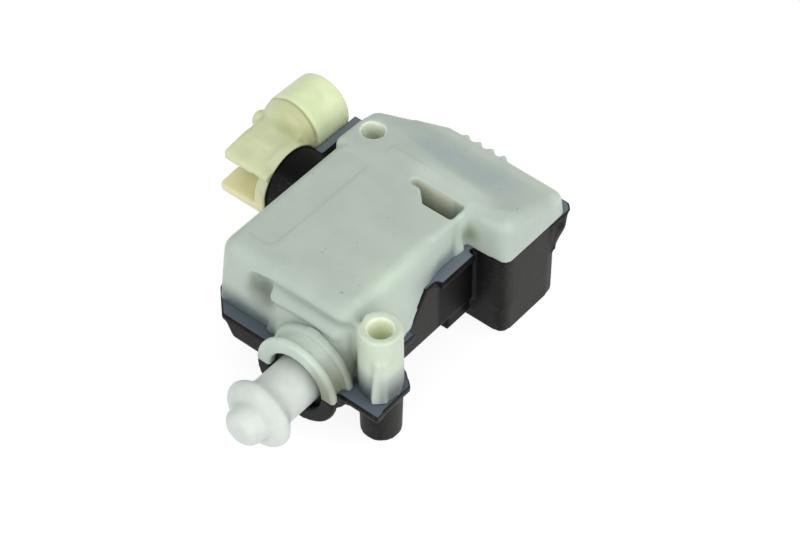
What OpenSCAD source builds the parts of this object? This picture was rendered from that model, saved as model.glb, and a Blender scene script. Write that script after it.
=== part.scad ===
// Electric actuator that locks and releases a fuel filler flap.
// A small motor turns the output shaft through two pairs of spur gears. The pinion on that shaft
// slides the toothed plunger, and the lever on the shaft's outer end moves it by hand.
// The plunger points to -Y, its axis is the Y axis, and Y is 0 at the collar's front face.

/* [Plunger] */
// Diameter of the plunger's rod
rod_d = 11; // [10:0.25:11.5]
// Diameter of the mushroom head
head_d = 15.8; // [14:0.2:17]
// From the collar's front face to the widest place of the head
head_reach = 10.4; // [10:0.2:13]
// Diameter of the knob in front of the head
knob_d = 9; // [7:0.2:10]
// Length of the knob
knob_len = 4; // [3.4:0.2:5.6]
// How far the plunger travels back
stroke = 7.5; // [6:0.25:7.5]
// Width of the toothed tail
tail_w = 6.4; // [5.4:0.2:6.8]
// Thickness of the stop flange round the rod
stop_t = 2; // [1.6:0.1:2.4]

/* [Collar] */
// Diameter of the collar's two flanges
collar_d = 20.4; // [19.6:0.2:23]
// Diameter of the neck between the flanges
neck_d = 17.6; // [17.2:0.1:18.4]
// Thickness of each flange
collar_flange = 1.7; // [1.4:0.1:2]
// Width of the groove between the flanges
collar_groove = 3; // [2.8:0.1:4]
// Diameter of the collar's bore
collar_bore_d = 13.4; // [12.8:0.1:13.8]

/* [Housing] */
// Wall thickness of the cover and the lower housing
wall = 1.5; // [1.3:0.05:1.6]
// From the plunger's axis to the front block's left side
block_left = 27.4; // [26.6:0.2:29]
// From the plunger's axis to the front block's right side
block_right = 8.6; // [8.4:0.1:9]
// Height of the cover above the plunger's axis
cover_h = 17; // [16.6:0.2:19]
// Depth of the front block below the plunger's axis
block_depth = 8; // [7.8:0.1:9]
// Depth of the motor bay below the plunger's axis
bay_depth = 14.5; // [14:0.25:17]
// From the plunger's axis to the motor bay's right side
bay_right = 17.2; // [16.8:0.2:19]
// From the plunger's axis to the motor bay's left side
bay_left = 28.2; // [27.8:0.2:29]
// From the collar's front face to the motor bay's rear
bay_rear = 67.1; // [62:0.1:74]
// Size of the motor bay along the plunger's axis
bay_len = 20.5; // [20:0.1:22]
// Height of the sloping roof at the motor bay's rear
bay_rear_h = 12.8; // [12.6:0.1:13.6]
// Height of the parting plane at the motor bay
parting_rise = 7; // [6:0.25:8]
// Thickness of the flange rims at the parting plane
rim_t = 1.7; // [1.3:0.1:2]
// From the plunger's axis to the edge of the ledge at the left rear
ledge_left = 34.2; // [33:0.2:34.2]

/* [Fixing screws] */
// Diameter of both screw bores
screw_bore_d = 5.2; // [4.2:0.1:5.6]
// Diameter of the front screw post
post_d = 9.4; // [8.6:0.2:10]
// Diameter of the rear screw boss
boss_d = 8.2; // [7.6:0.1:8.2]
// Front screw's place along X
post_x = 13.7; // [13.4:0.1:15]
// Front screw's place along Y
post_y = 10.6; // [10:0.2:12]
// How far the front post reaches below the plunger's axis
post_depth = 13; // [11:0.5:16]
// Rear screw's place along X
boss_x = -23.2; // [-23.6:0.1:-23.1]
// From the motor bay's front back to the rear screw
boss_back = 5.8; // [5.4:0.1:7.2]

/* [Gear train] */
// From the motor bay's front forward to the output shaft
shaft_ahead = 6.9; // [6.6:0.1:7.2]
// Height of the output shaft
shaft_z = 3.4; // [3:0.1:3.6]
// Diameter of the output shaft
shaft_d = 5; // [4:0.25:5.5]
// Module of the plunger's rack and its pinion
rack_module = 0.9; // [0.85:0.05:0.95]
// Teeth on the drive pinion
drive_teeth = 10; // [10:1:11]
// Module of the output gear and the idler's pinion
output_module = 0.7; // [0.65:0.05:0.7]
// Teeth on the output gear
output_teeth = 30; // [28:1:30]
// Module of the idler's wheel and the motor's pinion
motor_module = 0.6; // [0.55:0.05:0.6]
// Teeth on the idler's wheel
idler_teeth = 20; // [19:1:21]
// Teeth on each of the two smallest pinions
small_teeth = 9; // [9:1:9]
// Thickness of the output gear
output_gear_t = 3.6; // [3:0.2:4]
// Thickness of the idler's wheel
idler_wheel_t = 3; // [2.4:0.2:3.2]
// Diameter of the idler's axle
axle_d = 2; // [1.5:0.1:2]

/* [Motor] */
// Height of the motor's can
can_d = 20.2; // [19:0.2:20.6]
// Width of the motor's can across its flat sides
can_w = 15.1; // [14:0.1:15.1]
// Length of the motor's can
can_len = 15.8; // [15:0.2:16.2]
// Thickness of the can's steel
can_t = 0.8; // [0.6:0.1:1]
// Thickness of the two magnets
magnet_t = 3.2; // [2.6:0.1:3.4]
// Diameter of the rotor's laminated core
core_d = 10.4; // [9.4:0.1:10.6]
// Diameter of the commutator
commutator_d = 4.6; // [4:0.1:5]
// Length of the commutator
commutator_len = 3.6; // [3:0.1:3.8]
// Diameter of the motor's shaft
rotor_shaft_d = 2; // [1.5:0.1:2.3]
// Height of the motor's axis
motor_z = 1.6; // [1.4:0.1:1.8]

/* [Release lever] */
// Diameter of the hub that the lever turns on
hub_d = 16.4; // [14:0.2:16.8]
// How far the hub stands out from the plunger's axis
hub_reach = 36; // [35.6:0.1:37]
// Overall width of the lever along its axis
lever_w = 12.6; // [12:0.1:14]
// Diameter of the lever's barrel
barrel_d = 15; // [13:0.2:15]
// Length of the lever's barrel
barrel_len = 10.7; // [8:0.1:13]
// Diameter of the lever's drum round the shaft
drum_d = 16.6; // [16.2:0.1:17.2]
// Thickness of each finger blade at its tip
blade_tip_t = 1.6; // [1.2:0.1:2.2]
// Diameter of the lever's screw
lever_screw_d = 2.4; // [2:0.1:2.6]
// How far the screw reaches into the output shaft
lever_screw_len = 6.5; // [5:0.5:8]

/* [Socket] */
// Width of the plug socket's shroud
socket_w = 14; // [13:0.2:15]
// Height of the plug socket's shroud
socket_h = 9; // [8.4:0.1:9.4]
// How far the shroud stands out behind the motor bay
socket_len = 11.9; // [11.5:0.1:14]
// Width of each contact blade
blade_w = 1.5; // [1.2:0.1:1.8]
// Thickness of each contact blade
blade_t = 0.8; // [0.6:0.1:0.9]

/* [Clearances] */
// Radial clearance of shafts that turn in a bore
run_gap = 0.06; // [0.03:0.01:0.1]
// Radial clearance of pieces that are pressed together
press_gap = 0.02; // [0.01:0.01:0.04]
// Clearance between moving pieces
move_gap = 0.3; // [0.25:0.05:0.4]
// Play between the teeth of two gears
backlash = 0.12; // [0.1:0.02:0.16]

/* [Hidden] */

milky = [0.76, 0.82, 0.77];
white = [0.88, 0.9, 0.88];
ivory = [0.88, 0.87, 0.68];
black = [0.17, 0.17, 0.16];
rubber = [0.08, 0.08, 0.08];
steel = [0.68, 0.69, 0.7];
brass = [0.8, 0.66, 0.35];
copper = [0.75, 0.45, 0.28];

far = 120;
round_fn = 72;
soft_fn = 32;
pressure_angle = 25;
addendum = 0.8;
dedendum = 1.1;
flank_steps = 3;

bay_front = bay_rear - bay_len;
shaft_y = bay_front - shaft_ahead;
boss_y = bay_front + boss_back;
parting_y1 = shaft_y - hub_d / 2 - 0.5;
parting_y0 = parting_y1 - 5.4;

rod_r = rod_d / 2;
stop_r = collar_bore_d / 2 + 0.7;
channel_r = stop_r + 0.5;
collar_len = 2 * collar_flange + collar_groove;
chamber_y = collar_len + wall;
wiper_r = collar_bore_d / 2 + 1;
wiper_len = 2.4;
wiper_y = collar_flange + (collar_groove - wiper_len) / 2;
buffer_t = 1.4;
stop_y = chamber_y + buffer_t + 0.1;
stop_rear = stop_y + stop_t + stroke + 0.4;
guide_y = stop_rear + 0.9;
guide_len = 3;

drive_r = rack_module * drive_teeth / 2;
mesh_z = shaft_z - drive_r;
rack_pitch = PI * rack_module;
tail_end = shaft_y + 0.75 * rack_pitch;
tail_bottom = -block_depth + wall + 0.4;
drive_tip = drive_r + addendum * rack_module;
rod_end = shaft_y - drive_tip - stroke - 1;
rear_buffer_y = rod_end + stroke + 0.25;
floor_z = -block_depth + wall;

output_r = output_module * output_teeth / 2;
output_tip = output_r + addendum * output_module;
small_r = output_module * small_teeth / 2;
wheel_r = motor_module * idler_teeth / 2;
motor_r = motor_module * small_teeth / 2;
motor_y = bay_rear - wall - can_w / 2 - 0.05;
span_om = norm([motor_y - shaft_y, motor_z - shaft_z]);
reach_o = output_r + small_r;
reach_m = wheel_r + motor_r;
along_om = (reach_o * reach_o - reach_m * reach_m + span_om * span_om) / (2 * span_om);
below_om = sqrt(reach_o * reach_o - along_om * along_om);
dir_om = [(motor_y - shaft_y) / span_om, (motor_z - shaft_z) / span_om];
idler_y = shaft_y + dir_om[0] * along_om + dir_om[1] * below_om;
idler_z = shaft_z + dir_om[1] * along_om - dir_om[0] * below_om;
angle_oi = atan2(idler_z - shaft_z, idler_y - shaft_y);
angle_im = atan2(motor_z - idler_z, motor_y - idler_y);

output_gear_x = -17.2;
wheel_x = -11.4;
can_x = -5.6;
nose_len = 1.5;
can_end = can_x + can_len;
cap_len = 2.2;
bush_t = 0.9;
bush_flange_t = 0.7;
pinion_end = tail_w / 2 + 0.6;
bush_rib_x = pinion_end + 0.2 + bush_flange_t;
rib_t = 1.6;

hub_face = -hub_reach;
lever_rim = hub_face + 0.7;
lever_back = lever_rim - lever_w;
shaft_end = lever_back + 5.4;
drum_r = drum_d / 2;
ring_r = hub_d / 2 + 0.8;
ring_x = lever_rim - 2.7;
screw_r = lever_screw_d / 2;
screw_head_r = screw_r + 1.1;
counterbore = 2.6;
seal_x = hub_face + 2.4;
seal_len = 2;
barrel_x = lever_rim - barrel_d / 2 + 0.7;
barrel_y = shaft_y + 8.2;
barrel_z = shaft_z + 5.8;

post_r = post_d / 2;
boss_r = boss_d / 2;
bore_r = screw_bore_d / 2;
socket_x = -7;
strip_z = motor_z - can_d / 2 - 0.6 - blade_t / 2;
socket_z = strip_z;
socket_wall = 1.4;
socket_end = bay_rear + socket_len;
blade_x = 2.6;
blade_end = socket_end - 4.9;
pad_len = 10;
pad_w = 4;
core_x0 = can_x + 3;
commutator_x1 = can_x + can_len - 2;
core_x1 = commutator_x1 - commutator_len - 1.6;

// Corners of a polygon rounded by arcs: r is one radius for all corners, or a list with one for each
function unit(v) = v / norm(v);
function corner_arc(a, b, c, r, steps) =
    let (u = unit(a - b), v = unit(c - b), half = acos(u * v) / 2, m = b + unit(u + v) * r / sin(half),
        p = b + u * r / tan(half) - m, q = b + v * r / tan(half) - m,
        a0 = atan2(p[1], p[0]), turn = atan2(p[0] * q[1] - p[1] * q[0], p * q))
    [for (k = [0:steps]) m + r * [cos(a0 + turn * k / steps), sin(a0 + turn * k / steps)]];
function rounded(points, r, steps = 4) =
    let (n = len(points))
    [for (i = [0:n - 1]) let (ri = is_list(r) ? r[i] : r)
        each ri > 0 ? corner_arc(points[(i + n - 1) % n], points[i], points[(i + 1) % n],
        ri, steps) : [points[i]]];

// Outline with each side moved in by its own distance, its corners rounded, at height z
function level(points, d, r, z) =
    let (n = len(points),
        moved = [for (i = [0:n - 1]) let (b = points[i], u = unit(points[(i + n - 1) % n] - b),
            v = unit(points[(i + 1) % n] - b), s = abs(u[0] * v[1] - u[1] * v[0]))
            b + u * d[i] / s + v * d[(i + n - 1) % n] / s])
    [for (p = rounded(moved, r)) [p[0], p[1], z]];

// Solid through a stack of such outlines
module lofted(levels) {
    n = len(levels[0]);
    last = len(levels) - 1;
    polyhedron([for (l = levels) each l], concat([[for (i = [0:n - 1]) i]],
        [for (k = [0:last - 1]) for (i = [0:n - 1])
            [k * n + (i + 1) % n, k * n + i, (k + 1) * n + i, (k + 1) * n + (i + 1) % n]],
        [[for (i = [n - 1:-1:0]) last * n + i]]));
}

module plate(points, r, z0, z1) {
    translate([0, 0, z0]) linear_extrude(z1 - z0) polygon(rounded(points, r));
}

module box(low, high) {
    translate(low) cube(high - low);
}

// Extrudes an outline drawn in Y and Z along X
module along_x(x0, x1) {
    translate([x0, 0, 0]) rotate([90, 0, 90]) linear_extrude(x1 - x0) children();
}

// Extrudes an outline drawn in X and Z along Y
module along_y(y0, y1) {
    translate([0, y1, 0]) rotate([90, 0, 0]) linear_extrude(y1 - y0) children();
}

module rod_x(r, x0, x1, y, z) {
    translate([x0, y, z]) rotate([0, 90, 0]) cylinder(r = r, h = x1 - x0, $fn = round_fn);
}

module rod_y(r, y0, y1, x, z) {
    translate([x, y1, z]) rotate([90, 0, 0]) cylinder(r = r, h = y1 - y0, $fn = round_fn);
}

// Turns an outline of radius and distance about an axis along Y through x and z
module turned_y(x, z) {
    translate([x, 0, z]) rotate([-90, 0, 0]) rotate_extrude($fn = round_fn) children();
}

module turned_x(y, z) {
    translate([0, y, z]) rotate([0, 90, 0]) rotate_extrude($fn = round_fn) children();
}

// Space above and below the stepped parting plane
module above_parting() {
    along_x(-far, far) polygon([[-far, 0], [parting_y0, 0], [parting_y1, parting_rise],
        [far, parting_rise], [far, far], [-far, far]]);
}

module below_parting() {
    along_x(-far, far) polygon([[-far, 0], [parting_y0, 0], [parting_y1, parting_rise],
        [far, parting_rise], [far, -far], [-far, -far]]);
}

// Involute spur gears, drawn in Y and Z with one tooth at angle 0
function involute(a) = tan(a) * 180 / PI - a;
function half_tooth(r, z, rho) =
    90 / z - backlash / 2 * 90 / (PI * r) + involute(pressure_angle)
    - involute(acos(min(1, r * cos(pressure_angle) / rho)));
function gear_points(module_mm, z) =
    let (r = module_mm * z / 2, tip = r + addendum * module_mm, root = r - dedendum * module_mm,
        base = max(root, r * cos(pressure_angle)),
        side = [for (k = [0:flank_steps]) base + (tip - base) * k / flank_steps],
        radii = root < base ? concat([root], side) : side, n = len(radii))
    [for (t = [0:z - 1]) each concat(
        [for (k = [0:n - 1]) let (a = 360 * t / z - half_tooth(r, z, max(base, radii[k])))
            radii[k] * [cos(a), sin(a)]],
        [for (k = [n - 1:-1:0]) let (a = 360 * t / z + half_tooth(r, z, max(base, radii[k])))
            radii[k] * [cos(a), sin(a)]])];

module gear(module_mm, z, x0, x1, y, zz, angle) {
    translate([0, y, zz]) along_x(x0, x1) rotate(angle) polygon(gear_points(module_mm, z));
}

// Outer form of the cover's front block, or of its cavity when inset is the wall. The walls lean in
// a little from the foot to the shoulder, and the edge above the shoulder is rounded.
module block_form(inset) {
    left = -block_left + 0.1;
    right = block_right - 1;
    outline = [[left, 7.4], [right, 7.4], [right, bay_front - 5.6], [4.2, bay_front + 4],
        [left, bay_front + 4]];
    lean = [0.3, 0.4, 0.4, 0.9, 0.3];
    edge = [3.5, 2.9, 2.9, 3.5, 3.5];
    shoulder = cover_h - 3.5;
    lofted(concat(
        [level(outline, [for (e = edge) inset], [for (e = edge) max(1.2 - inset, 0.2)], -1)],
        [for (a = [0:16:80]) level(outline,
            [for (i = [0:4]) inset + lean[i] + (edge[i] - inset) * (1 - cos(a))],
            [for (e = edge) (e - inset) * cos(a)],
            shoulder + (3.5 - inset) * sin(a) / sin(80))]));
}

// Outer form of the cover's motor bay, with the roof that slopes down to the rear
module bay_form(inset) {
    top = 3.6;
    low = 2.4;
    edge = 1.9;
    hull() {
        for (p = [[bay_right - top - 0.2, bay_front + top, cover_h, top],
                [bay_right - low - 0.4, bay_rear - low - 0.1, bay_rear_h, low],
                [-13.6, bay_rear - edge - 0.1, bay_rear_h + 0.3, edge],
                [-bay_left + edge + 0.3, bay_rear - 10.2, cover_h - 0.6, edge],
                [-bay_left + edge + 0.3, bay_front, cover_h, edge]])
            translate([p[0], p[1], p[2] - p[3]]) sphere(r = p[3] - inset, $fn = soft_fn);
        for (p = [[bay_right - 2, bay_front + 2], [bay_right - 2, bay_rear - 2], [-14, bay_rear - 2],
                [-bay_left + 2, bay_rear - 9.9], [-bay_left + 2, bay_front]])
            translate([p[0], p[1], parting_rise - 1]) cylinder(r = 2 - inset, h = 0.1, $fn = soft_fn);
    }
}

// Set-back bridge that joins the roofs of the front block and the motor bay beside the slot
module neck_form(inset) {
    right = slot_points[3][0] + slot_wall - inset;
    along_y(bay_front - 10.6, bay_front + 4.4) polygon(rounded([[-18, -1], [right, -1],
        [right, cover_h - inset],
        [-18, cover_h - inset]], 1.5));
}

// Saddle that covers the plunger between the collar and the front block
module saddle_form(inset, y0, y1) {
    hull() {
        rod_y(stop_r + 0.5 + wall - inset, y0, y1, 0, 0);
        rod_y(4.7 - inset, y0, y1, -8.7, 0.4);
    }
}

// Collar with its two flanges, whose halves belong to the two shells
module collar_form() {
    e = 0.3;
    r = collar_d / 2;
    y1 = collar_flange;
    y2 = collar_flange + collar_groove;
    turned_y(0, 0) polygon([[collar_bore_d / 2 + e, 0], [r - e, 0], [r, e], [r, y1 - e], [r - e, y1],
        [neck_d / 2, y1], [neck_d / 2, y2], [r - e, y2], [r, y2 + e], [r, collar_len],
        [collar_bore_d / 2, collar_len],
        [collar_bore_d / 2, wiper_y + wiper_len], [wiper_r + press_gap, wiper_y + wiper_len],
        [wiper_r + press_gap, wiper_y], [collar_bore_d / 2, wiper_y], [collar_bore_d / 2, e]]);
}

// Stepped slot in the cover's top, with its corners as [x, y]
slot_rear = bay_front + 0.4;
slot_points = [[-7.6, slot_rear - 1.6], [-4.6, slot_rear - 1.8], [-1.5, slot_rear - 4.9],
    [5.7, slot_rear - 4.9],
    [5.7, slot_rear], [-7.6, slot_rear]];
slot_wall = 1.2;
slot_bottom = 9.8;

// Round-ended pocket in the cover's front wall
pocket_x = -15.3;
pocket_y = 5.6;
pocket_r = 4.8;
pocket_z0 = 9;
pocket_z1 = 10;
pocket_side = -12.6;

module cover() {
    color(milky, 0.9) difference() {
        union() {
            intersection() {
                union() {
                    block_form(0);
                    bay_form(0);
                    neck_form(0);
                    saddle_form(0, collar_len, stop_rear + wall);
                    collar_form();
                    // skirt that flares out to the rim on the right and dies away behind the step
                    intersection() {
                        plate([[0, 0], [far, 0], [far, parting_y1 - 11],
                            [block_right + 1.4, parting_y1 - 11],
                            [block_right - 1.5, parting_y1 + 7.4], [0, parting_y1 + 7.4]], 0, -2, far);
                        along_y(post_y - 1, parting_y1 + 8) polygon([[block_right - 3, 12.4],
                            [block_right - 1.45, 12],
                        [block_right - 0.9, 9.5], [block_right - 0.3, 6.5], [block_right, 4],
                        [block_right + 0.6, 1.6], [block_right + 1.3, 0.5], [block_right + 1.3, -1],
                        [block_right - 3, -1]]);
                    }
                }
                above_parting();
            }
            cover_post();
            translate([boss_x, boss_y, parting_rise])
                cylinder(r = boss_r, h = cover_h - parting_rise - 0.5, $fn = round_fn);
            // vent ribs on the rear wall
            for (k = [0:3])
                translate([-9.5 + 3.3 * k, bay_rear - 0.2, parting_rise])
                cylinder(r = 0.6, h = 5.7, $fn = 24);
        }
        cover_cavity();
        translate([0, 0, cover_h]) mirror([0, 0, 1]) plate(slot_points, 0, -1, cover_h);
        translate([post_x, post_y, -1]) cylinder(r = bore_r, h = cover_h + 2, $fn = round_fn);
        translate([post_x, post_y, cover_h - 0.5])
            cylinder(r1 = bore_r, r2 = bore_r + 1, h = 0.6, $fn = round_fn);
        translate([boss_x, boss_y, 0]) cylinder(r = bore_r, h = cover_h + 2, $fn = round_fn);
        // shallow field along the left edge of the top
        plate([[-block_left + 2.4, 13], [-17, 13], [-16.8, bay_front - 2],
            [-block_left + 2.4, bay_front - 2]], 2.4,
            cover_h - 0.2, cover_h + 1);
        // pocket in the front wall, with its steep side towards the saddle
        intersection() {
            translate([pocket_x, pocket_y, 0]) {
                translate([0, 0, pocket_z0]) cylinder(r = pocket_r, h = pocket_z1 - pocket_z0, $fn = 48);
                for (z = [pocket_z0, pocket_z1])
                    translate([0, 0, z]) sphere(r = pocket_r, $fn = 48);
            }
            box([-far, -far, 0], [pocket_side, far, far]);
        }
    }
}

// Front screw post with its web to the block and its gusset
module cover_post() {
    translate([post_x, post_y, 0]) {
        cylinder(r1 = post_r, r2 = post_r - 0.15, h = cover_h, $fn = round_fn);
    }
    box([block_right - 5, post_y - 0.9, 0], [post_x - bore_r - 0.6, post_y + 0.9, cover_h - 2.6]);
    // gusset towards the flange's front corner
    translate([post_x, post_y, 0]) rotate(-64.5) rotate([90, 0, 0]) translate([0, 0, -0.6])
        linear_extrude(1.2) polygon([[bore_r + 1, 0], [post_r + 0.6, 0], [post_r - 0.1, 8.6],
        [bore_r + 1, 8.6]]);
}

module cover_cavity() {
    difference() {
        union() {
            intersection() {
                block_form(wall);
                box([-far, chamber_y + 0.3, -1], [far, far, far]);
            }
            bay_form(wall);
            neck_form(wall);
            saddle_form(wall, chamber_y, stop_rear);
            // throat between the block and the motor bay
            box([-block_left + 3, bay_front - 3, -1], [-10, bay_front + 4, cover_h - 4]);
        }
        translate([pocket_x, pocket_y, -1]) cylinder(r = pocket_r + wall, h = pocket_z1 + pocket_r + 1,
            $fn = 48);
        // guide bridge over the plunger's rod
        difference() {
            box([-8, guide_y, -1], [block_right, guide_y + guide_len, cover_h]);
            rod_y(rod_r + run_gap, guide_y - 1, guide_y + guide_len + 1, 0, 0);
        }
        // walls of the slot
        box([slot_points[0][0] - slot_wall, slot_points[2][1] - slot_wall, slot_bottom],
            [slot_points[3][0] + slot_wall, slot_points[4][1] + slot_wall, cover_h]);
        translate([boss_x, boss_y, 0]) cylinder(r = boss_r, h = cover_h, $fn = round_fn);
    }
    rod_y(collar_bore_d / 2, -1, chamber_y + 1, 0, 0);
}

front_edge = 4.3;
floor_chamfer = 3.1;
block_points = [[-block_left, 12.4], [-22.9, front_edge], [-11.2, front_edge], [-11.2, collar_len],
    [block_right + 0.2, collar_len], [block_right + 0.2, bay_front + 1], [-block_left, bay_front + 1]];
bay_side = bay_right - 0.4;
bay_corner = bay_rear - 8.7;
bay_points = [[-bay_left, bay_front], [bay_side, bay_front], [bay_side, bay_rear], [-15, bay_rear],
    [-bay_left, bay_corner]];
bay_radii = [2.4, 2.4, 5.6, 2.4, 2.4];
step_y = bay_front - 7.9;
step_left = 22;
step_depth = 12.2;

module lower_housing() {
    color(black) difference() {
        union() {
            intersection() {
                union() {
                    lower_block();
                    plate(bay_points, bay_radii, -bay_depth, parting_rise);
                    rod_y(stop_r + 0.5 + wall, collar_len, stop_rear + wall, 0, 0);
                    collar_form();
                    rod_x(hub_d / 2, -block_left - 1, -block_left + 1, shaft_y, shaft_z);
                    rod_x(output_tip + 0.5 + wall, output_gear_x - 1.8,
                        output_gear_x + output_gear_t + 1.8, shaft_y, shaft_z);
                    box([-step_left, step_y, -step_depth], [block_right - 0.4, bay_front + 2, 0]);
                }
                below_parting();
            }
            rims();
            rod_x(hub_d / 2, hub_face, -bay_left, shaft_y, shaft_z);
            socket_shroud();
            translate([post_x, post_y, -post_depth])
                cylinder(r1 = post_r - 0.4, r2 = post_r - 0.1, h = post_depth, $fn = round_fn);
        }
        lower_cavity();
        translate([post_x, post_y, -far / 2]) cylinder(r = bore_r, h = far, $fn = round_fn);
        translate([boss_x, boss_y, -far / 2]) cylinder(r = bore_r, h = far, $fn = round_fn);
        rod_x(shaft_d / 2 + run_gap, -far / 2, -block_left + 4, shaft_y, shaft_z);
        rod_x(shaft_d / 2 + 1.4, seal_x, seal_x + seal_len, shaft_y, shaft_z);
        rod_y(collar_bore_d / 2, -1, chamber_y + 1, 0, 0);
        for (s = [-1, 1])
            box([socket_x + s * blade_x - blade_w / 2 - 0.05, bay_rear - 3, strip_z - blade_t / 2 - 0.05],
                [socket_x + s * blade_x + blade_w / 2 + 0.05, bay_rear + 3, strip_z + blade_t / 2 + 0.05]);
    }
}

module lower_block() {
    difference() {
        plate(block_points, 1.2, -block_depth, parting_rise);
        // chamfer along the front wall's foot, and the draft of the slanted wall beside it
        along_x(-far, far) polygon([[front_edge - 1, -block_depth + floor_chamfer - 0.02],
            [front_edge, -block_depth + floor_chamfer], [front_edge + floor_chamfer, -block_depth],
            [front_edge + floor_chamfer, -far], [front_edge - 1, -far]]);
        translate([-22.9, front_edge, 0]) rotate(119) translate([-4, 0, 0]) along_x(0, 18)
            polygon([[0.01, -1], [4, -1], [4, -far], [-4, -far], [-3.4, -block_depth], [-1.75, -4.9]]);
    }
}

// Flange rims and tabs along the parting plane
module rims() {
    edge = block_right + 2;
    ledge = [parting_rise - rim_t, parting_rise];
    plate([[-block_left - 1.9, parting_y0], [-block_left - 1.9, 11], [-block_left - 1.8, 10.1], [-27, 7.8],
        [-23.5, front_edge], [-12.75, front_edge], [-12.1, 7.3], [-9, 7.3], [-9, 9], [-23, 9.6],
        [-24, parting_y0]],
        0.35, -rim_t, 0);
    plate([[block_right + 0.4, 3.3], [19, 3], [18.5, 14.2], [15, 16.8], [edge, 17], [edge, parting_y0],
        [block_right - 1, parting_y0], [block_right - 1, 8]], 0.4, -rim_t, 0);
    plate([[block_right - 1.6, bay_front - 12.3], [10, bay_front - 12.3], [10, bay_front - 1.4],
        [block_right - 1.6, bay_front - 1.4]], 0.4, ledge[0], ledge[1]);
    plate([[-block_left + 1, bay_front - 4.6], [1.4 - ledge_left, bay_front - 4.6],
        [1.4 - ledge_left, bay_front + 3.4],
        [-ledge_left, bay_front + 3.4], [-ledge_left, bay_rear - 7.1], [-bay_left + 3, bay_rear - 7.1]],
        0.4, ledge[0], ledge[1]);
    plate([[-18, bay_rear - 2], [bay_right + 0.2, bay_rear - 2], [bay_right + 0.2, bay_rear + 0.9],
        [15.8, bay_rear + 2.5], [-18, bay_rear + 2.5]], 0.4, ledge[0], ledge[1]);
    // ribs under the ledges
    for (y = [bay_front + 5.4, bay_rear - 9.1])
        along_y(y, y + 1.4) polygon([[-bay_left + 1, ledge[0]], [-ledge_left + 0.4, ledge[0]],
        [-bay_left + 1, -2]]);
    for (x = [-14, -2])
        along_x(x, x + 1.4) polygon([[bay_rear - 1, ledge[0]], [bay_rear + 2.1, ledge[0]],
        [bay_rear - 1, 1]]);
    // gusset from the rounded rear corner out to the ledge's corner
    translate([bay_side - bay_radii[2], bay_rear - bay_radii[2], 0]) rotate(41) along_y(-2.6, 2.6)
        polygon([[bay_radii[2] - 1, ledge[0]], [bay_radii[2] - 1, -3.6], [bay_radii[2] - 0.1, -2.2],
            [bay_radii[2] + 3.1, ledge[0]]]);
}

module socket_shroud() {
    x0 = socket_x - socket_w / 2;
    x1 = socket_x + socket_w / 2;
    z0 = socket_z - socket_h / 2;
    z1 = socket_z + socket_h / 2;
    difference() {
        translate([0, socket_end, 0]) rotate([90, 0, 0]) linear_extrude(socket_len + 1)
            polygon(rounded([[x0, z0], [x1, z0], [x1, z1], [x0, z1]], 1.6));
        translate([0, socket_end + 1, 0]) rotate([90, 0, 0]) linear_extrude(socket_len)
            polygon(rounded([[x0 + socket_wall, z0 + socket_wall], [x1 - socket_wall, z0 + socket_wall],
                [x1 - socket_wall, z1 - socket_wall], [x0 + socket_wall, z1 - socket_wall]], 0.3));
    }
    // latch ramp for the plug
    translate([0, 0, z1]) along_x(socket_x - 2, socket_x + 2)
        polygon([[socket_end - 5, -0.2], [socket_end - 5, 1], [socket_end - 2, -0.2]]);
}

module lower_cavity() {
    difference() {
        union() {
            // front block
            plate([[-block_left + wall, 13], [-22, chamber_y + 0.3], [block_right - wall, chamber_y + 0.3],
                [block_right - wall, bay_front + 3], [-block_left + wall, bay_front + 3]],
                1, floor_z, parting_rise + far);
            // channel of the plunger's stop flange
            rod_y(channel_r, chamber_y, stop_rear, 0, 0);
            // deeper step and the gear's pocket
            box([-step_left + 1.4, step_y + wall, -step_depth + wall],
                [block_right - 0.4 - wall, bay_front + 3, 0]);
            rod_x(output_tip + 0.5, output_gear_x - 0.4, output_gear_x + output_gear_t + 0.4, shaft_y,
                shaft_z);
            // motor bay
            plate([[-bay_left + wall, bay_front + wall], [bay_side - wall, bay_front + wall],
                [bay_side - wall, bay_rear - wall], [-15 + wall / 2, bay_rear - wall],
                [-bay_left + wall, bay_corner - wall / 2]], [1, 1, bay_radii[2] - wall, 1, 1],
                -bay_depth + wall, parting_rise + far);
        }
        lower_ribs();
    }
}

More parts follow.
